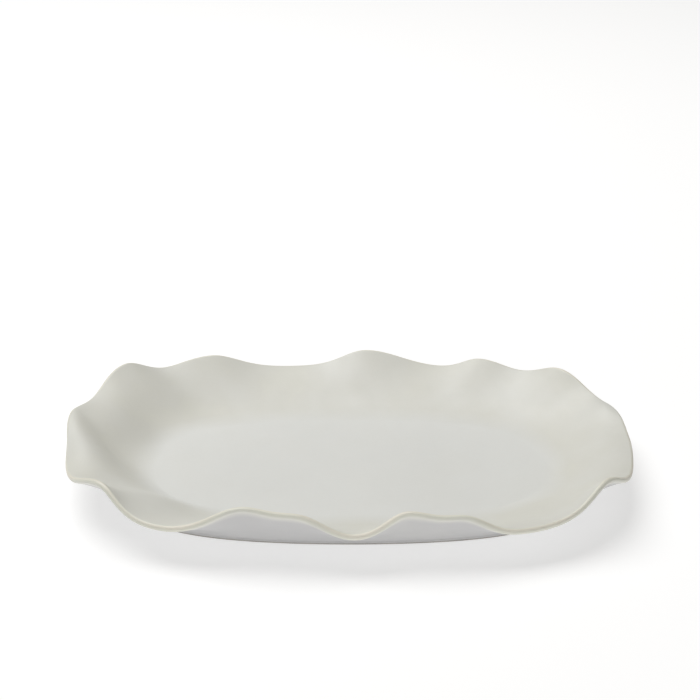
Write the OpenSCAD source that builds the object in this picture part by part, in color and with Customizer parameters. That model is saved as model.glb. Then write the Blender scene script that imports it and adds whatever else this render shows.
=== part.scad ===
// China serving platter: an oval dish with a flat floor and a hand-ruffled rim.
// One fired slab of clay stands on a low foot ring, and four coats of glaze cover both.
// Millimetres. The platter rests on its foot at z = 0, with its length along X and its width along Y.

/* [Oval] */
// Length over the rim, before the ruffles bend it
rim_length = 388; // [370:2:420]
// Width over the rim, before the ruffles bend it
rim_width = 270; // [256:2:300]
// Length of the flat floor
floor_length = 272; // [260:2:290]
// Width of the flat floor
floor_width = 146; // [136:2:160]
// Length over the foot ring
foot_length = 318; // [300:2:330]
// Width over the foot ring
foot_across = 196; // [180:2:206]
// How square the ovals are, from a true ellipse upwards
squareness = 0.05; // [0:0.01:0.08]

/* [Heights] */
// Height of the glazed floor
floor_height = 8.5; // [8:0.5:12]
// Height at which the plain wall would end, if its rim were not bent
wall_height = 38.5; // [32:0.5:44]
// Height of the rim in the dips between the ruffles
dip_height = 27; // [22:1:34]
// Height of the foot ring
foot_height = 2.9; // [2.4:0.1:4]

/* [Wall shape] */
// How the wall curves up out of the floor: higher keeps the floor's edge flatter
wall_curve = 2; // [1.6:0.1:2.4]
// How close to the rim the dips and ruffles stay: lower runs further down the wall
ruffle_curve = 4; // [3:0.5:5]
// How far the rim flares outwards in the dips
dip_flare = 3; // [0:0.5:6]
// How sharply a shoulder turns from the steep wall to the flatter rim
shoulder_sharpness = 1.4; // [1:0.1:1.8]
// Strength of the ruffles and shoulders, from none to a little over full
ruffle_strength = 1; // [0:0.05:1.1]

/* [Ware] */
// Thickness of the glazed wall and rim
wall_thickness = 4; // [3.4:0.1:5]
// Thickness of one coat of glaze
glaze_thickness = 0.4; // [0.3:0.05:0.6]
// Width of the foot ring's own band
foot_width = 7; // [5:0.5:10]
// Height of the foot that is wiped clean of glaze
dry_foot = 1.2; // [0.8:0.1:1.6]

/* [Detail] */
// Points round each oval
points_round = 120; // [72:12:144]

/* [Hidden] */

// The ruffles pinched into the soft rim by hand, anticlockwise from the right-hand end.
// Each one is its angle, its spread before and after that angle in degrees, its rise and its inward lean.
ruffles = [
    [17, 8, 8, 2, -3],
    [42, 11, 9, 14, 2],
    [64, 8, 5, 9, -3],
    [87, 9, 6, 12, -5],
    [118, 8, 13, 12, -5],
    [141, 8, 13, 17, -8],
    [169, 10, 10, 8, -6],
    [219, 14, 9, 18, 6],
    [253, 8, 8, 18, 7],
    [263, 5, 5, 10, 4],
    [279, 5, 7, 16, 7],
    [289, 5, 5, 10, 4],
    [324, 11, 11, 17, 6],
    [350, 12, 12, 2, 2],
];

// The shoulders, where the wall stands up and the rim lies flatter outside it.
// Each one is its angle, its spread before and after, its height, its place on the way up the wall
// at that angle, and how fast that place slides down the wall with each degree.
shoulders = [
    [20, 6, 6, 3, 0.88, 0],
    [137, 8, 12, 3, 0.7, 0],
    [160, 12, 12, 6, 0.66, 0],
    [190, 16, 34, 11, 0.68, 0.015],
    [224, 10, 10, 6, 0.5, 0],
    [318, 14, 14, 3, 0.3, 0],
    [345, 20, 20, 5, 0.67, 0],
];

// Places of the values in one ruffle or shoulder
BUMP_ANGLE = 0;
SPREAD_BEFORE = 1;
SPREAD_AFTER = 2;
RUFFLE_RISE = 3;
RUFFLE_LEAN = 4;
SHOULDER_HEIGHT = 3;
SHOULDER_PLACE = 4;
SHOULDER_SLIDE = 5;

// Places of the values in one profile, which is the wall's shape at one angle
FLOOR_EDGE = 0;
RIM_EDGE = 1;
OUTWARD = 2;
RISE = 3;
LEAN = 4;
SHOULDERS = 5;
// Places of the values in one shoulder as it is felt at one angle
FELT_HEIGHT = 0;
FELT_PLACE = 1;

// A shoulder keeps at least this part of the wall between itself and the floor's edge or the rim
nearest_place = 0.05;
// Steps used to measure slopes: degrees round the oval, and part of the way up the wall
angle_step = 0.5;
climb_step = 0.005;

// Parts of the way up the wall, from 0 at the floor's edge to 1 at the rim
lip_start = 1 - wall_thickness / (rim_length - floor_length);
heel_start = 0.32;
even_start = 0.78;

// Rings of points up the inner wall, round the lip and down the outer wall
inner_rings = 11;
lip_facets = 5;
lip_rings = lip_facets - 1;
outer_rings = 8;
// The inner glaze ends at this ring, and the outer glaze starts at this one
well_ring = inner_rings - 2;
belly_ring = inner_rings + lip_rings + 1;

// Rounding of the foot's two lower edges
foot_chamfer = 0.6;

function unit(v) = v / norm(v);
function total(v) = v * [for (x = v) 1];
function middle(v) = (min(v) + max(v)) / 2;

// Point on an oval that is length long and width wide
function oval(length, width, t) = [
    length / 2 * ((1 + squareness) * cos(t) - squareness * cos(3 * t)),
    width / 2 * ((1 + squareness) * sin(t) + squareness * sin(3 * t)),
];

// Outward direction at the same place on that oval
function oval_outward(length, width, t) = unit([
    width * ((1 + squareness) * cos(t) + 3 * squareness * cos(3 * t)),
    length * ((1 + squareness) * sin(t) - 3 * squareness * sin(3 * t)),
]);

// Degrees from a ruffle or shoulder to an angle, the shorter way round
function away(bump, t) =
    let (turn = t - bump[BUMP_ANGLE])
    turn - 360 * floor((turn + 180) / 360);

// How much of it is felt at that angle, from 0 to 1
function share(bump, t) =
    let (turn = away(bump, t))
    exp(-pow(turn / (turn < 0 ? bump[SPREAD_BEFORE] : bump[SPREAD_AFTER]), 2));

// All the ruffles' rise or lean at an angle
function ruffled(value, t) =
    ruffle_strength * total([for (ruffle = ruffles) ruffle[value] * share(ruffle, t)]);

// Height and place of each shoulder at an angle
function shoulders_at(t) = [
    for (bump = shoulders)
        let (place = bump[SHOULDER_PLACE] * exp(-bump[SHOULDER_SLIDE] * away(bump, t)))
        [
            ruffle_strength * bump[SHOULDER_HEIGHT] * share(bump, t),
            min(max(place, nearest_place), 1 - nearest_place),
        ],
];

function profile(t) = [
    oval(floor_length, floor_width, t),
    oval(rim_length, rim_width, t),
    oval_outward(rim_length, rim_width, t),
    ruffled(RUFFLE_RISE, t),
    ruffled(RUFFLE_LEAN, t),
    shoulders_at(t),
];

// How much of a shoulder is felt at part s of the way up the wall: 1 at its own place
function shoulder_shape(place, s) =
    pow(s / place, shoulder_sharpness * max(1, place / (1 - place)))
        * pow((1 - s) / (1 - place), shoulder_sharpness * max(1, (1 - place) / place));

// Point on the inner face of the glazed wall, at part s of the way up
function wall_point(p, s) =
    let (bend = pow(s, ruffle_curve))
    let (spread = p[FLOOR_EDGE] + (p[RIM_EDGE] - p[FLOOR_EDGE]) * s)
    let (flat = spread + p[OUTWARD] * (dip_flare - p[LEAN]) * bend)
    let (plain = floor_height + (wall_height - floor_height) * pow(s, wall_curve))
    let (raised = [for (felt = p[SHOULDERS]) felt[FELT_HEIGHT] * shoulder_shape(felt[FELT_PLACE], s)])
    [flat.x, flat.y, plain + (dip_height + p[RISE] - wall_height) * bend + total(raised)];

// A station is the profiles just before, at and just after one angle, and that angle
function station(t) = [profile(t - angle_step), profile(t), profile(t + angle_step), t];
stations = [for (i = [0:points_round - 1]) station(i * 360 / points_round)];

// Direction up the inner wall, and the direction that its face looks in
function climb(st, s) = unit(wall_point(st[1], s + climb_step) - wall_point(st[1], s - climb_step));
function facing(st, s) =
    s == 0 ? [0, 0, 1] : unit(cross(climb(st, s), wall_point(st[2], s) - wall_point(st[0], s)));

// Outer edge of the foot ring, moved outwards by some distance, at height z
function foot_edge(t, outwards, z) =
    let (edge = oval(foot_length, foot_across, t))
    let (flat = edge + oval_outward(foot_length, foot_across, t) * outwards)
    [flat.x, flat.y, z];

// Clay below the inner wall, at the thickness of the bare wall
function bare_back(st, s) = wall_point(st[1], s) - facing(st, s) * (wall_thickness - glaze_thickness);

// Clay face of the outer wall, which thickens towards the heel and ends on the foot's outer edge
function belly_point(st, s) =
    let (blend = pow(1 - min((s - heel_start) / (even_start - heel_start), 1), 2))
    bare_back(st, s) + (foot_edge(st[3], 0, foot_height) - bare_back(st, heel_start)) * blend;

// Direction that the outer wall looks in: downwards and outwards
function belly_facing(st, s) =
    let (out = oval_outward(floor_length, floor_width, st[3]))
    let (rise = belly_point(st, s + climb_step) - belly_point(st, s))
    unit(cross([-out.y, out.x, 0], rise));

// Point on the rounded lip, turned over the edge from the inner wall (0) to the outer wall (180)
function lip_point(st, turn, depth) =
    let (face = facing(st, lip_start))
    let (centre = wall_point(st[1], lip_start) - face * wall_thickness / 2)
    centre + (wall_thickness / 2 - depth) * (face * cos(turn) + climb(st, lip_start) * sin(turn));

// Part of the way up the wall for each ring, and the turn for each ring round the lip
function inner_part(ring) = lip_start * ring / (inner_rings - 1);
function outer_part(ring) = lip_start + (heel_start - lip_start) * ring / (outer_rings - 1);
function lip_turn(ring) = 180 * ring / lip_facets;

// Rings over the whole wall, at a depth below the glazed face: up the inside, over the lip, down the belly
function over_wall(depth) = [
    for (ring = [0:inner_rings - 1])
        [for (st = stations) wall_point(st[1], inner_part(ring)) - facing(st, inner_part(ring)) * depth],
    for (ring = [1:lip_rings])
        [for (st = stations) lip_point(st, lip_turn(ring), depth)],
    for (ring = [0:outer_rings - 1])
        let (s = outer_part(ring))
        [for (st = stations) belly_point(st, s) + belly_facing(st, s) * (glaze_thickness - depth)],
];
glaze_rings = over_wall(0);
clay_rings = over_wall(glaze_thickness);

// The ruffles make the rim uneven, so the platter is centred on its own length and width
rim_x = [for (ring = glaze_rings, point = ring) point.x];
rim_y = [for (ring = glaze_rings, point = ring) point.y];
centre = [middle(rim_x), middle(rim_y), 0];

// Ring at a distance outside the foot's outer edge
function foot_ring_at(outwards, z) = [for (st = stations) foot_edge(st[3], outwards, z)];
function part_of(rings, first, last) = [for (ring = [first:last]) rings[ring]];

// Faces that join ring p to ring q, all split along the same diagonal so that neighbours match
function band(p, q, front) = [
    for (i = [0:points_round - 1])
        let (j = (i + 1) % points_round)
        let (a = p * points_round + i, b = p * points_round + j)
        let (c = q * points_round + j, d = q * points_round + i)
        each front ? [[a, b, c], [a, c, d]] : [[a, c, b], [a, d, c]]
];

// Flat face that closes a ring, looking up or down
function cap(ring, up) =
    [for (i = [0:points_round - 1]) ring * points_round + (up ? points_round - 1 - i : i)];

// Solid whose faces run through rings of points
module ringed_solid(rings, faces) {
    translate(-centre)
        polyhedron(points = [for (ring = rings, point = ring) point], faces = faces, convexity = 8);
}

// Coat of glaze between its outer rings and the rings of clay under it.
// Either end is an open edge or runs on to the middle of the platter as a flat sheet.
module coat(outer, inner, sheet_first = false, sheet_last = false) {
    n = len(outer);
    first_end = sheet_first ? [cap(0, true), cap(n, false)] : band(0, n, false);
    last_end = sheet_last ? [cap(n - 1, false), cap(2 * n - 1, true)] : band(n - 1, 2 * n - 1, true);
    faces = [
        for (r = [0:n - 2]) each band(r, r + 1, true),
        for (r = [0:n - 2]) each band(n + r, n + r + 1, false),
        each first_end,
        each last_end,
    ];
    ringed_solid(concat(outer, inner), faces);
}

// The fired slab: floor, wall and ruffled rim in one piece
module clay_body() {
    n = len(clay_rings);
    faces = [
        for (r = [0:n - 2]) each band(r, r + 1, true),
        cap(0, true),
        cap(n - 1, false),
    ];
    color("#ece6da") ringed_solid(clay_rings, faces);
}

// The ring of clay luted under the slab, with its standing edge bare
module foot_ring() {
    rings = [
        foot_ring_at(-foot_width, foot_height),
        foot_ring_at(0, foot_height),
        foot_ring_at(0, dry_foot),
        foot_ring_at(0, foot_chamfer),
        foot_ring_at(-foot_chamfer, 0),
        foot_ring_at(foot_chamfer - foot_width, 0),
        foot_ring_at(-foot_width, foot_chamfer),
        foot_ring_at(-foot_width, dry_foot),
    ];
    n = len(rings);
    color("#d8cfbd") ringed_solid(rings, [for (r = [0:n - 1]) each band(r, (r + 1) % n, true)]);
}

// White glaze over the floor and the inner wall
module well_glaze() {
    color("#dddcd6")
        coat(part_of(glaze_rings, 0, well_ring), part_of(clay_rings, 0, well_ring), sheet_first = true);
}

// Thin cream glaze that has run off the rounded lip
module lip_glaze() {
    color("#e2dfc8")
        coat(part_of(glaze_rings, well_ring, belly_ring), part_of(clay_rings, well_ring, belly_ring));
}

// White glaze over the outer wall and down the side of the foot
module belly_glaze() {
    last = len(glaze_rings) - 1;
    outer = [each part_of(glaze_rings, belly_ring, last), foot_ring_at(glaze_thickness, dry_foot)];
    inner = [each part_of(clay_rings, belly_ring, last), foot_ring_at(0, dry_foot)];
    color("#c9c7c4") coat(outer, inner);
}

// White glaze that lines the recess inside the foot ring
module base_glaze() {
    outer = [
        foot_ring_at(-foot_width - glaze_thickness, dry_foot),
        foot_ring_at(-foot_width - glaze_thickness, foot_height - glaze_thickness),
    ];
    inner = [foot_ring_at(-foot_width, dry_foot), foot_ring_at(-foot_width, foot_height)];
    color("#d5d3cd") coat(outer, inner, sheet_last = true);
}

clay_body();
foot_ring();
well_glaze();
lip_glaze();
belly_glaze();
base_glaze();
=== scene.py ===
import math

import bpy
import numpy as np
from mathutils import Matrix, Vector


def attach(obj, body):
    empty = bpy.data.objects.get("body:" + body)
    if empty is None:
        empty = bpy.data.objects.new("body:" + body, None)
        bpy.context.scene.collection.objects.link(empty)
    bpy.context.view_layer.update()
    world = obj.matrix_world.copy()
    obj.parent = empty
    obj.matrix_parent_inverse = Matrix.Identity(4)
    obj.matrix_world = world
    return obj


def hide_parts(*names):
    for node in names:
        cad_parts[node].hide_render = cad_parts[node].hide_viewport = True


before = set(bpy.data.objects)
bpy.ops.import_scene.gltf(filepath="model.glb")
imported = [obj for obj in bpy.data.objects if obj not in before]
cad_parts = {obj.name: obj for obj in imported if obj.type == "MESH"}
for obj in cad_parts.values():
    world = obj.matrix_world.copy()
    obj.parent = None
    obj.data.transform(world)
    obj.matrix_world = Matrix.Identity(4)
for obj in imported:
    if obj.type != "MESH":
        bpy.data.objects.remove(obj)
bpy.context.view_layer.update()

# The looks of the china serving platter: a slab, a foot and four coats of glaze, each a fine closed mesh.
# The shape follows the same rules as the CAD part. Lengths are in millimetres until they become mesh
# points.

MM = 0.001

# Ovals, heights and wall shape of the platter
RIM_LENGTH, RIM_WIDTH = 388.0, 270.0
FLOOR_LENGTH, FLOOR_WIDTH = 272.0, 146.0
FOOT_LENGTH, FOOT_ACROSS = 318.0, 196.0
SQUARENESS = 0.05
FLOOR_HEIGHT = 8.5
WALL_HEIGHT = 38.5
DIP_HEIGHT = 27.0
FOOT_HEIGHT = 2.9
WALL_CURVE = 2.0
RUFFLE_CURVE = 4.0
DIP_FLARE = 3.0
WALL_THICKNESS = 4.0
GLAZE_THICKNESS = 0.4
FOOT_WIDTH = 7.0
DRY_FOOT = 1.2
FOOT_CHAMFER = 0.6

# The ruffles: angle, spread before and after it in degrees, rise and inward lean
RUFFLES = np.array([
    (17, 8, 8, 2, -3),
    (42, 11, 9, 14, 2),
    (64, 8, 5, 9, -3),
    (87, 9, 6, 12, -5),
    (118, 8, 13, 12, -5),
    (141, 8, 13, 17, -8),
    (169, 10, 10, 8, -6),
    (219, 14, 9, 18, 6),
    (253, 8, 8, 18, 7),
    (263, 5, 5, 10, 4),
    (279, 5, 7, 16, 7),
    (289, 5, 5, 10, 4),
    (324, 11, 11, 17, 6),
    (350, 12, 12, 2, 2),
], dtype=float)

# The shoulders, where the wall stands up and the rim lies flatter outside it:
# angle, spread before it, spread after it, height, place on the way up the wall at that angle,
# and how fast that place slides down the wall with each degree
SHOULDERS = np.array([
    (20, 6, 6, 3, 0.88, 0),
    (137, 8, 12, 3, 0.7, 0),
    (160, 12, 12, 6, 0.66, 0),
    (190, 16, 34, 11, 0.68, 0.015),
    (224, 10, 10, 6, 0.5, 0),
    (318, 14, 14, 3, 0.3, 0),
    (345, 20, 20, 5, 0.67, 0),
], dtype=float)
SHOULDER_SHARPNESS = 1.4
LOWEST_PLACE = 0.05

# Parts of the way up the wall, from 0 at the floor's edge to 1 at the rim
LIP_START = 1 - WALL_THICKNESS / (RIM_LENGTH - FLOOR_LENGTH)
HEEL_START = 0.32
EVEN_START = 0.78
SEAM = LIP_START * 9 / 10

# Steps used to measure slopes: radians round the oval, and part of the way up the wall
ANGLE_STEP = 0.002
CLIMB_STEP = 0.0005

# Mesh detail
POINTS_ROUND = 480
WALL_RINGS = 36
SEAM_RINGS = 8
LIP_FACETS = 14
FLOOR_RINGS = 26
BASE_RINGS = 14
EDGE_FACETS = 4
CAD_POINTS_ROUND = 120
CAD_LIP_FACETS = 5
# Size of the smallest ring round the middle of the floor and the base, as a part of the whole
MIDDLE_RING = 0.04
# Edges sharper than this many degrees stay crisp on the foot and the base coat
CRISP_EDGE = 35

# How thin the glaze runs on the inner wall and under the lip, where 1 is the crown of the lip,
# the parts of the way up the wall where each begins, and the turn over the lip at its crown
WALL_THIN, WALL_THIN_FROM = 0.36, 0.3
BELLY_THIN, THIN_FROM = 0.35, 0.88
LIP_CROWN = 0.25 * np.pi
# Rounding of the glaze that pools inside the foot
POOL_RADIUS = 1.0


# ---------------------------------------------------------------- shape

def oval(length, width, t):
    """Points on an oval, at angles t."""
    x = length / 2 * ((1 + SQUARENESS) * np.cos(t) - SQUARENESS * np.cos(3 * t))
    y = width / 2 * ((1 + SQUARENESS) * np.sin(t) + SQUARENESS * np.sin(3 * t))
    return np.stack([x, y, np.zeros_like(x)], axis=-1)


def oval_outward(length, width, t):
    """Outward directions at the same places."""
    x = width * ((1 + SQUARENESS) * np.cos(t) + 3 * SQUARENESS * np.cos(3 * t))
    y = length * ((1 + SQUARENESS) * np.sin(t) - 3 * SQUARENESS * np.sin(3 * t))
    return unit(np.stack([x, y, np.zeros_like(x)], axis=-1))


def unit(v):
    return v / np.linalg.norm(v, axis=-1, keepdims=True)


def away(bumps, t):
    """Degrees from each bump's own angle to angles t."""
    return (np.degrees(t)[..., None] - bumps[:, 0] + 180) % 360 - 180


def shares(bumps, t):
    """How much of each bump is felt at angles t, from 0 to 1."""
    gap = away(bumps, t)
    return np.exp(-(gap / np.where(gap < 0, bumps[:, 1], bumps[:, 2])) ** 2)


def shoulder_height(t, s):
    """Height that the shoulders add at angles t, at part s of the way up the wall."""
    place = SHOULDERS[:, 4] * np.exp(-SHOULDERS[:, 5] * away(SHOULDERS, t))
    place = np.clip(place, LOWEST_PLACE, 1 - LOWEST_PLACE)
    below = SHOULDER_SHARPNESS * np.maximum(1, place / (1 - place))
    above = SHOULDER_SHARPNESS * np.maximum(1, (1 - place) / place)
    shape = (s / place) ** below * ((1 - s) / (1 - place)) ** above
    return (shares(SHOULDERS, t) * shape) @ SHOULDERS[:, 3]


def wall_point(t, s):
    """Points on the inner face of the wall, at angles t and parts s of the way up."""
    share = shares(RUFFLES, t)
    rise, lean = share @ RUFFLES[:, 3], share @ RUFFLES[:, 4]
    bend = s ** RUFFLE_CURVE
    floor_edge = oval(FLOOR_LENGTH, FLOOR_WIDTH, t)
    rim_edge = oval(RIM_LENGTH, RIM_WIDTH, t)
    points = floor_edge + (rim_edge - floor_edge) * s
    points = points + oval_outward(RIM_LENGTH, RIM_WIDTH, t) * ((DIP_FLARE - lean) * bend)[..., None]
    plain = FLOOR_HEIGHT + (WALL_HEIGHT - FLOOR_HEIGHT) * s ** WALL_CURVE
    points[..., 2] = plain + (DIP_HEIGHT + rise - WALL_HEIGHT) * bend + shoulder_height(t, s)
    return points


def climb(t, s):
    """Directions up the inner wall."""
    return unit(wall_point(t, s + CLIMB_STEP) - wall_point(t, s - CLIMB_STEP))


def facing(t, s):
    """Directions that the inner wall looks in."""
    if s == 0:
        return np.tile([0.0, 0.0, 1.0], (len(t), 1))
    return unit(np.cross(climb(t, s), wall_point(t + ANGLE_STEP, s) - wall_point(t - ANGLE_STEP, s)))


def foot_edge(t, outwards, z):
    """The foot ring's outer edge, moved outwards, at height z."""
    points = oval(FOOT_LENGTH, FOOT_ACROSS, t) + oval_outward(FOOT_LENGTH, FOOT_ACROSS, t) * outwards
    points[..., 2] = z
    return points


def bare_back(t, s):
    return wall_point(t, s) - facing(t, s) * (WALL_THICKNESS - GLAZE_THICKNESS)


def belly_point(t, s):
    """Clay face of the outer wall, which thickens towards the heel and ends on the foot's edge."""
    blend = (1 - min((s - HEEL_START) / (EVEN_START - HEEL_START), 1)) ** 2
    return bare_back(t, s) + (foot_edge(t, 0, FOOT_HEIGHT) - bare_back(t, HEEL_START)) * blend


def belly_facing(t, s):
    """Directions that the outer wall looks in."""
    out = oval_outward(FLOOR_LENGTH, FLOOR_WIDTH, t)
    along = np.stack([-out[..., 1], out[..., 0], out[..., 2]], axis=-1)
    return unit(np.cross(along, belly_point(t, s + CLIMB_STEP) - belly_point(t, s)))


def lip_point(t, turn, depth):
    """Points on the rounded lip, turned over the edge from the inner wall (0) to the outer wall (pi)."""
    face = facing(t, LIP_START)
    centre = wall_point(t, LIP_START) - face * WALL_THICKNESS / 2
    return centre + (WALL_THICKNESS / 2 - depth) * (
        face * math.cos(turn) + climb(t, LIP_START) * math.sin(turn)
    )


def platter_centre():
    """The ruffles make the rim uneven, so the CAD part is centred on its own length and width."""
    t = 2 * np.pi * np.arange(CAD_POINTS_ROUND) / CAD_POINTS_ROUND
    turns = np.pi * np.arange(CAD_LIP_FACETS + 1) / CAD_LIP_FACETS
    lip = np.concatenate([lip_point(t, turn, 0) for turn in turns])
    middle = (lip.min(axis=0) + lip.max(axis=0)) / 2
    return np.array([middle[0], middle[1], 0.0])


CENTRE = platter_centre()
ANGLES = 2 * np.pi * np.arange(POINTS_ROUND) / POINTS_ROUND


# ---------------------------------------------------------------- zones of the wall
# The platter's skin is one stack of rings: across the floor, up the inner wall, over the lip,
# down the belly and onto the foot. Each coat of glaze is a run of these rings.

FLOOR_PARTS = np.linspace(MIDDLE_RING, 1, FLOOR_RINGS)[:-1]
INNER_PARTS = np.concatenate([
    np.linspace(0, SEAM, WALL_RINGS),
    np.linspace(SEAM, LIP_START, SEAM_RINGS)[1:],
])
LIP_TURNS = np.pi * np.arange(1, LIP_FACETS) / LIP_FACETS
BELLY_PARTS = np.linspace(LIP_START, HEEL_START, WALL_RINGS)
# The bead at the glaze's lower edge on the foot: part of the glaze's thickness, and height
BEAD = [(1.0, 2.2), (1.0, 1.6), (0.85, 1.35), (0.5, DRY_FOOT)]

WELL_END = len(FLOOR_PARTS) + WALL_RINGS - 1
LIP_END = len(FLOOR_PARTS) + len(INNER_PARTS) + len(LIP_TURNS)


def skin_rings(depth):
    """All rings of the skin, at a depth below the glazed face: 0 for glaze, or the coat's own thickness."""
    t = ANGLES
    edge = oval(FLOOR_LENGTH, FLOOR_WIDTH, t)
    level = np.array([0.0, 0.0, FLOOR_HEIGHT - depth])
    rings = [edge * part + level for part in FLOOR_PARTS]
    rings += [wall_point(t, s) - facing(t, s) * depth for s in INNER_PARTS]
    rings += [lip_point(t, turn, depth) for turn in LIP_TURNS]
    rings += [belly_point(t, s) + belly_facing(t, s) * (GLAZE_THICKNESS - depth) for s in BELLY_PARTS]
    rings += [foot_edge(t, (GLAZE_THICKNESS - depth) * part, z) for part, z in BEAD]
    return np.array(rings)


def ring_normals(rings):
    """Normals of a stack of rings, from its slopes along and across them."""
    around = np.roll(rings, -1, axis=1) - np.roll(rings, 1, axis=1)
    return unit(np.cross(np.gradient(rings, axis=0), around))


def thin_glaze():
    """How thin the glaze is on each ring: 0 where it pools on the floor, 1 on the crown of the lip."""
    belly = np.clip((BELLY_PARTS - THIN_FROM) / (LIP_START - THIN_FROM), 0, 1) ** 2
    return np.concatenate([
        np.zeros(len(FLOOR_PARTS)),
        WALL_THIN * np.clip(INNER_PARTS / WALL_THIN_FROM, 0, 1),
        np.interp(LIP_TURNS, [0, LIP_CROWN, np.pi], [WALL_THIN, 1, BELLY_THIN]),
        BELLY_THIN * belly,
        np.zeros(len(BEAD)),
    ])


# ---------------------------------------------------------------- meshes

def band(p, q, front):
    """Quads that join ring p to ring q."""
    i = np.arange(POINTS_ROUND)
    j = (i + 1) % POINTS_ROUND
    a, b, c, d = p * POINTS_ROUND + i, p * POINTS_ROUND + j, q * POINTS_ROUND + j, q * POINTS_ROUND + i
    return np.stack([a, d, c, b] if front else [a, b, c, d], axis=-1).tolist()


def cap(ring, up):
    """Flat face that closes a ring."""
    points = (ring * POINTS_ROUND + np.arange(POINTS_ROUND)).tolist()
    return points if up else points[::-1]


def make_piece(name, rings, faces, node):
    """A mesh object whose faces run through rings of points, standing for its CAD node."""
    mesh = bpy.data.meshes.new(name)
    points = (np.concatenate(rings) - CENTRE) * MM
    mesh.from_pydata(points.tolist(), [], faces)
    mesh.polygons.foreach_set("use_smooth", [True] * len(mesh.polygons))
    piece = bpy.data.objects.new(name, mesh)
    bpy.context.collection.objects.link(piece)
    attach(piece, "root")
    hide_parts(node)
    return piece


def set_normals(mesh, point_normals, edge_faces):
    """Exact normals, so that neighbouring coats shade as one surface. The last faces are flat edges."""
    corners = np.empty(len(mesh.loops), dtype=np.int32)
    mesh.loops.foreach_get("vertex_index", corners)
    normals = point_normals[corners]
    for face in mesh.polygons[len(mesh.polygons) - edge_faces:]:
        normals[face.loop_start:face.loop_start + face.loop_total] = face.normal
    mesh.normals_split_custom_set(normals.tolist())


def set_point_values(mesh, name, values):
    attribute = mesh.attributes.new(name, "FLOAT", "POINT")
    attribute.data.foreach_set("value", np.ascontiguousarray(values, dtype=np.float32))


def make_coat(name, first, last, node, first_cap=False):
    """A coat of glaze over a run of the skin's rings, closed by an edge or by flat caps."""
    n = last - first + 1
    faces = []
    for r in range(n - 1):
        faces += band(r, r + 1, True) + band(n + r, n + r + 1, False)
    edges = [cap(0, True), cap(n, False)] if first_cap else band(0, n, False)
    edges += band(n - 1, 2 * n - 1, True)
    run = slice(first, last + 1)
    rings = np.concatenate([GLAZE_SKIN[run], CLAY_SKIN[run]])
    piece = make_piece(name, rings, faces + edges, node)
    normals = np.concatenate([ring_normals(GLAZE_SKIN)[run], -ring_normals(CLAY_SKIN)[run]])
    set_normals(piece.data, normals.reshape(-1, 3), len(edges))
    thin = np.repeat(np.tile(thin_glaze()[run], 2), POINTS_ROUND)
    set_point_values(piece.data, "thin_glaze", thin)
    return piece


def make_slab():
    """The clay under the glaze: floor, wall and rim, down to the heel."""
    rings = CLAY_SKIN[len(FLOOR_PARTS):len(CLAY_SKIN) - len(BEAD)]
    n = len(rings)
    faces = [face for r in range(n - 1) for face in band(r, r + 1, True)]
    caps = [cap(0, True), cap(n - 1, False)]
    piece = make_piece("platter_slab", rings, faces + caps, "clay_body")
    set_normals(piece.data, ring_normals(rings).reshape(-1, 3), len(caps))
    return piece


def make_foot():
    """The foot ring, with rounded standing edges."""
    turns = np.pi / 2 * np.arange(EDGE_FACETS + 1) / EDGE_FACETS
    outer = [(FOOT_CHAMFER * (np.cos(a) - 1), FOOT_CHAMFER * (1 - np.sin(a))) for a in turns]
    inner = [(-FOOT_WIDTH - x, z) for x, z in reversed(outer)]
    section = [(-FOOT_WIDTH, FOOT_HEIGHT), (0, FOOT_HEIGHT), (0, DRY_FOOT)] + outer + inner
    section.append((-FOOT_WIDTH, DRY_FOOT))
    rings = [foot_edge(ANGLES, x, z) for x, z in section]
    n = len(rings)
    faces = [face for r in range(n) for face in band(r, (r + 1) % n, True)]
    piece = make_piece("platter_foot", rings, faces, "foot_ring")
    piece.data.set_sharp_from_angle(angle=math.radians(CRISP_EDGE))
    return piece


def make_base_coat():
    """Glaze that lines the recess inside the foot, with a fillet where it pools in the corner."""
    inset = -FOOT_WIDTH - GLAZE_THICKNESS
    top = FOOT_HEIGHT - GLAZE_THICKNESS
    turns = np.pi / 2 * np.arange(EDGE_FACETS + 1) / EDGE_FACETS
    section = [(inset, DRY_FOOT)]
    section += [(inset - POOL_RADIUS * (1 - np.cos(a)), top - POOL_RADIUS * (1 - np.sin(a))) for a in turns]
    outer = [foot_edge(ANGLES, x, z) for x, z in section]
    spread = np.linspace(1, MIDDLE_RING, BASE_RINGS)[1:, None, None]
    middle = outer[-1][None] * spread
    middle[..., 2] = top
    outer = outer + list(middle)
    inner = [foot_edge(ANGLES, -FOOT_WIDTH, DRY_FOOT), foot_edge(ANGLES, -FOOT_WIDTH, FOOT_HEIGHT)]
    n = len(outer)
    faces = [face for r in range(n - 1) for face in band(r, r + 1, True)]
    faces += band(n, n + 1, False)
    edges = band(0, n, False) + [cap(n - 1, False), cap(n + 1, True)]
    piece = make_piece("base_coat", outer + inner, faces + edges, "base_glaze")
    piece.data.set_sharp_from_angle(angle=math.radians(CRISP_EDGE))
    set_point_values(piece.data, "thin_glaze", np.zeros(len(piece.data.vertices)))
    return piece


# ---------------------------------------------------------------- materials
# Sizes and depths of the noises are in metres.

# The middle part of a noise's range, where most of its values lie
NOISE_LOW, NOISE_HIGH = 0.3, 0.7

# Glaze: how far the edge between white and cream drifts, and how much of that shows on the white floor
DRIFT_SIZE, DRIFT = 0.045, 0.18
FLOOR_DRIFT = 0.25
CLOUD_SIZE, CLOUD_TINT = 0.08, 0.018
FLECK_SIZE, FLECK_TINT = 0.0025, 0.012
SHEEN_SIZE, SHEEN_ROUGHNESS = 0.012, (0.42, 0.52)
PEEL_SIZE, PEEL_DEPTH = 0.009, 0.00004
GLAZE_IOR = 1.5

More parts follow.
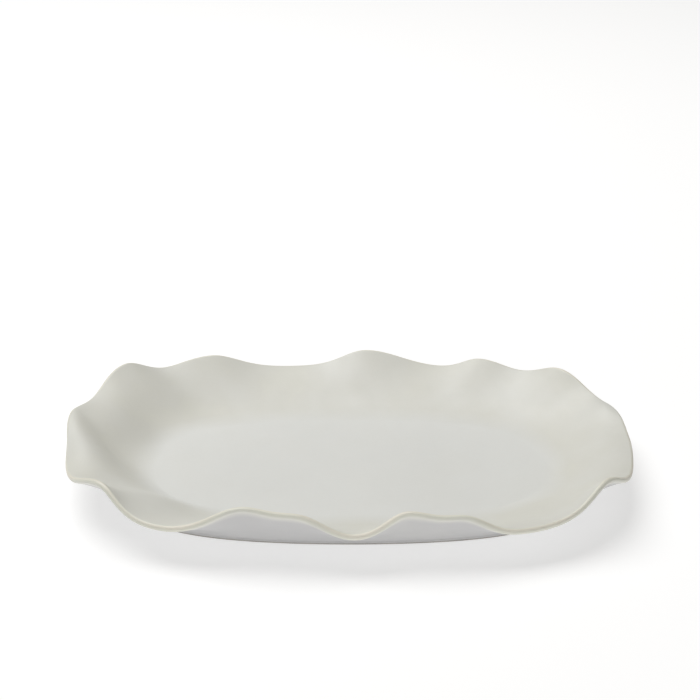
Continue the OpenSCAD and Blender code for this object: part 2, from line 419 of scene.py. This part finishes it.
# Colours of the glaze, from where it pools (0) to where it is thinnest (1)
INNER_STOPS = [
    (0.0, (0.752, 0.760, 0.735)),
    (0.4, (0.700, 0.698, 0.642)),
    (0.7, (0.735, 0.735, 0.645)),
    (1.0, (0.775, 0.742, 0.650)),
]
# Colours of the outer glaze: the grey at 0, on most of the outer wall and on the base coat, is painted
# shade, darker than the well's white because those faces look down; towards 1 it is the real cream of thin
# glaze under the lip.
OUTER_SHADED_STOPS = [
    (0.0, (0.540, 0.537, 0.537)),
    (0.35, (0.706, 0.704, 0.652)),
    (1.0, (0.775, 0.742, 0.650)),
]

# Clay: its two colours in patches, dark grey partly as the clay's own tone and partly as painted contact
# shade where the foot meets the floor, its grain and its finish
CLAY_AND_CONTACT_SHADE_STOPS = [
    (0.0, (0.30, 0.285, 0.265)),
    (1.0, (0.42, 0.40, 0.37)),
]
PATCH_SIZE = 0.02
GRAIN_SIZE, GRAIN_TINT = 0.0006, 0.08
WEAR_SIZE, WEAR_ROUGHNESS = 0.004, (0.7, 0.9)
PIT_SIZE, PIT_DEPTH = 0.0007, 0.00003


class NodeBench:
    """Short ways to add and join a material's nodes."""

    def __init__(self, name):
        self.material = bpy.data.materials.new(name)
        self.material.use_nodes = True
        self.nodes = self.material.node_tree.nodes
        self.links = self.material.node_tree.links
        self.shader = self.nodes["Principled BSDF"]
        self.place = self.add("ShaderNodeTexCoord").outputs["Object"]

    def add(self, kind, **values):
        node = self.nodes.new(kind)
        for key, value in values.items():
            setattr(node, key, value)
        return node

    def noise(self, size, detail=2.0, roughness=0.5):
        """Soft noise from 0 to 1, with features of about this size in metres."""
        node = self.add("ShaderNodeTexNoise")
        self.links.new(self.place, node.inputs["Vector"])
        node.inputs["Scale"].default_value = 1 / size
        node.inputs["Detail"].default_value = detail
        node.inputs["Roughness"].default_value = roughness
        return node.outputs["Fac"]

    def math(self, operation, a, b, clamp=False):
        node = self.add("ShaderNodeMath", operation=operation, use_clamp=clamp)
        for socket, value in zip(node.inputs, (a, b)):
            if isinstance(value, (int, float)):
                socket.default_value = value
            else:
                self.links.new(value, socket)
        return node.outputs["Value"]

    def remap(self, value, low, high, low_to, high_to):
        node = self.add("ShaderNodeMapRange")
        self.links.new(value, node.inputs["Value"])
        for name, number in zip(("From Min", "From Max", "To Min", "To Max"), (low, high, low_to, high_to)):
            node.inputs[name].default_value = number
        return node.outputs["Result"]

    def ramp(self, value, stops):
        node = self.add("ShaderNodeValToRGB")
        self.links.new(value, node.inputs["Fac"])
        marks = node.color_ramp.elements
        while len(marks) < len(stops):
            marks.new(0.5)
        for mark, (place, color) in zip(marks, stops):
            mark.position = place
            mark.color = (*color, 1)
        return node.outputs["Color"]

    def tint(self, color, by, amount):
        """Multiplies a colour by a value that swings around 1 by this amount."""
        swing = self.remap(by, 0, 1, 1 - amount, 1 + amount)
        node = self.add("ShaderNodeVectorMath", operation="SCALE")
        self.links.new(color, node.inputs[0])
        self.links.new(swing, node.inputs["Scale"])
        return node.outputs["Vector"]

    def bump(self, height, depth):
        """Bump of this depth in metres."""
        node = self.add("ShaderNodeBump")
        node.inputs["Strength"].default_value = 1.0
        node.inputs["Distance"].default_value = depth
        self.links.new(height, node.inputs["Height"])
        return node.outputs["Normal"]


def glaze_material(name, stops):
    """White satin glaze that turns cream where it lies thin, with a faint orange-peel surface."""
    bench = NodeBench(name)
    thin = bench.add("ShaderNodeAttribute", attribute_name="thin_glaze").outputs["Fac"]
    drift = bench.remap(bench.noise(DRIFT_SIZE, 3), NOISE_LOW, NOISE_HIGH, -DRIFT, DRIFT)
    uneven = bench.math("MULTIPLY", drift, bench.math("ADD", thin, FLOOR_DRIFT))
    color = bench.ramp(bench.math("ADD", thin, uneven, clamp=True), stops)
    color = bench.tint(color, bench.noise(CLOUD_SIZE, 2), CLOUD_TINT)
    color = bench.tint(color, bench.noise(FLECK_SIZE, 3), FLECK_TINT)
    bench.links.new(color, bench.shader.inputs["Base Color"])
    rough = bench.remap(bench.noise(SHEEN_SIZE, 4), NOISE_LOW, NOISE_HIGH, *SHEEN_ROUGHNESS)
    bench.links.new(rough, bench.shader.inputs["Roughness"])
    bench.shader.inputs["IOR"].default_value = GLAZE_IOR
    bench.links.new(bench.bump(bench.noise(PEEL_SIZE, 1), PEEL_DEPTH), bench.shader.inputs["Normal"])
    return bench.material


def clay_material():
    """Bare fired clay: dark grey, partly its own tone and partly painted contact shade for the dark line
    where the foot meets the floor; matt and fine grained, a little darker in patches.
    """
    bench = NodeBench("fired_clay")
    patches = bench.remap(bench.noise(PATCH_SIZE, 4), NOISE_LOW, NOISE_HIGH, 0, 1)
    color = bench.ramp(patches, CLAY_AND_CONTACT_SHADE_STOPS)
    color = bench.tint(color, bench.noise(GRAIN_SIZE, 3), GRAIN_TINT)
    bench.links.new(color, bench.shader.inputs["Base Color"])
    rough = bench.remap(bench.noise(WEAR_SIZE, 3), NOISE_LOW, NOISE_HIGH, *WEAR_ROUGHNESS)
    bench.links.new(rough, bench.shader.inputs["Roughness"])
    bench.links.new(bench.bump(bench.noise(PIT_SIZE, 4), PIT_DEPTH), bench.shader.inputs["Normal"])
    return bench.material


GLAZE_SKIN = skin_rings(0)
CLAY_SKIN = skin_rings(GLAZE_THICKNESS)

slab = make_slab()
foot = make_foot()
well_coat = make_coat("well_coat", 0, WELL_END, "well_glaze", first_cap=True)
lip_coat = make_coat("lip_coat", WELL_END, LIP_END, "lip_glaze")
belly_coat = make_coat("belly_coat", LIP_END, len(GLAZE_SKIN) - 1, "belly_glaze")
base_coat = make_base_coat()

inner_glaze = glaze_material("white_glaze", INNER_STOPS)
cream_glaze = glaze_material("thin_cream_glaze", INNER_STOPS)
# The outer glaze carries painted shade: its grey stands in for the shade on the downward-facing outer wall
# and the base.
shaded_outer_glaze = glaze_material("outer_glaze_painted_shade", OUTER_SHADED_STOPS)
fired_clay = clay_material()
# The slab and the foot take the clay, whose dark grey is partly painted contact shade at the base.
for piece in (slab, foot):
    piece.data.materials.append(fired_clay)
# The belly and the base coat take the outer glaze with its painted shade.
for piece in (belly_coat, base_coat):
    piece.data.materials.append(shaded_outer_glaze)
well_coat.data.materials.append(inner_glaze)
lip_coat.data.materials.append(cream_glaze)


# ---------------------------------------------------------------- studio
# Lengths are in metres and powers in watts.

FLOOR_HALF = 6.0
FLOOR_WHITE = 0.5
FLOOR_ROUGHNESS = 0.9
FLOOR_GLOW = 0.56
# A soft light high at the back left, and a low one in front that fills the outer wall
KEY_PLACE, KEY_SIZE, KEY_POWER = (-0.92, 0.8, 2.8), 3.0, 95
FILL_PLACE, FILL_SIZE, FILL_POWER = (0.3, -2.6, 0.12), 1.4, 22
ROOM_COLOR, ROOM_STRENGTH = (1.0, 0.94, 0.82, 1), 0.12
# The camera stands in front, looks down by this many degrees, and is placed from the ovals' common middle
CAMERA_BACK, CAMERA_HEIGHT, CAMERA_DOWN = 1.0389, 0.5294, 22.64
LENS, SENSOR = 85, 36


def make_floor():
    mesh = bpy.data.meshes.new("studio_floor")
    corners = [(x * FLOOR_HALF, y * FLOOR_HALF, 0) for x, y in ((-1, -1), (1, -1), (1, 1), (-1, 1))]
    mesh.from_pydata(corners, [], [(0, 1, 2, 3)])
    floor = bpy.data.objects.new("studio_floor", mesh)
    bpy.context.collection.objects.link(floor)
    material = bpy.data.materials.new("studio_white")
    material.use_nodes = True
    shader = material.node_tree.nodes["Principled BSDF"]
    shader.inputs["Base Color"].default_value = (FLOOR_WHITE, FLOOR_WHITE, FLOOR_WHITE, 1)
    shader.inputs["Roughness"].default_value = FLOOR_ROUGHNESS
    shader.inputs["Emission Color"].default_value = (1, 1, 1, 1)
    shader.inputs["Emission Strength"].default_value = FLOOR_GLOW
    mesh.materials.append(material)


def make_light(name, place, size, power):
    """A round area light that looks at the platter."""
    data = bpy.data.lights.new(name, "AREA")
    data.shape = "DISK"
    data.size = size
    data.energy = power
    light = bpy.data.objects.new(name, data)
    light.location = place
    light.rotation_euler = (-Vector(place)).to_track_quat("-Z", "Y").to_euler()
    bpy.context.collection.objects.link(light)


def make_camera():
    data = bpy.data.cameras.new("camera")
    data.lens = LENS
    data.sensor_width = SENSOR
    camera = bpy.data.objects.new("camera", data)
    camera.location = (-CENTRE[0] * MM, -CAMERA_BACK - CENTRE[1] * MM, CAMERA_HEIGHT)
    camera.rotation_euler = (math.radians(90 - CAMERA_DOWN), 0, 0)
    bpy.context.collection.objects.link(camera)
    bpy.context.scene.camera = camera


def make_world():
    world = bpy.data.worlds.new("studio")
    world.use_nodes = True
    background = world.node_tree.nodes["Background"]
    background.inputs["Color"].default_value = ROOM_COLOR
    background.inputs["Strength"].default_value = ROOM_STRENGTH
    bpy.context.scene.world = world


make_floor()
make_light("key_light", KEY_PLACE, KEY_SIZE, KEY_POWER)
make_light("front_fill", FILL_PLACE, FILL_SIZE, FILL_POWER)
make_camera()
make_world()
bpy.context.scene.view_settings.view_transform = "Standard"
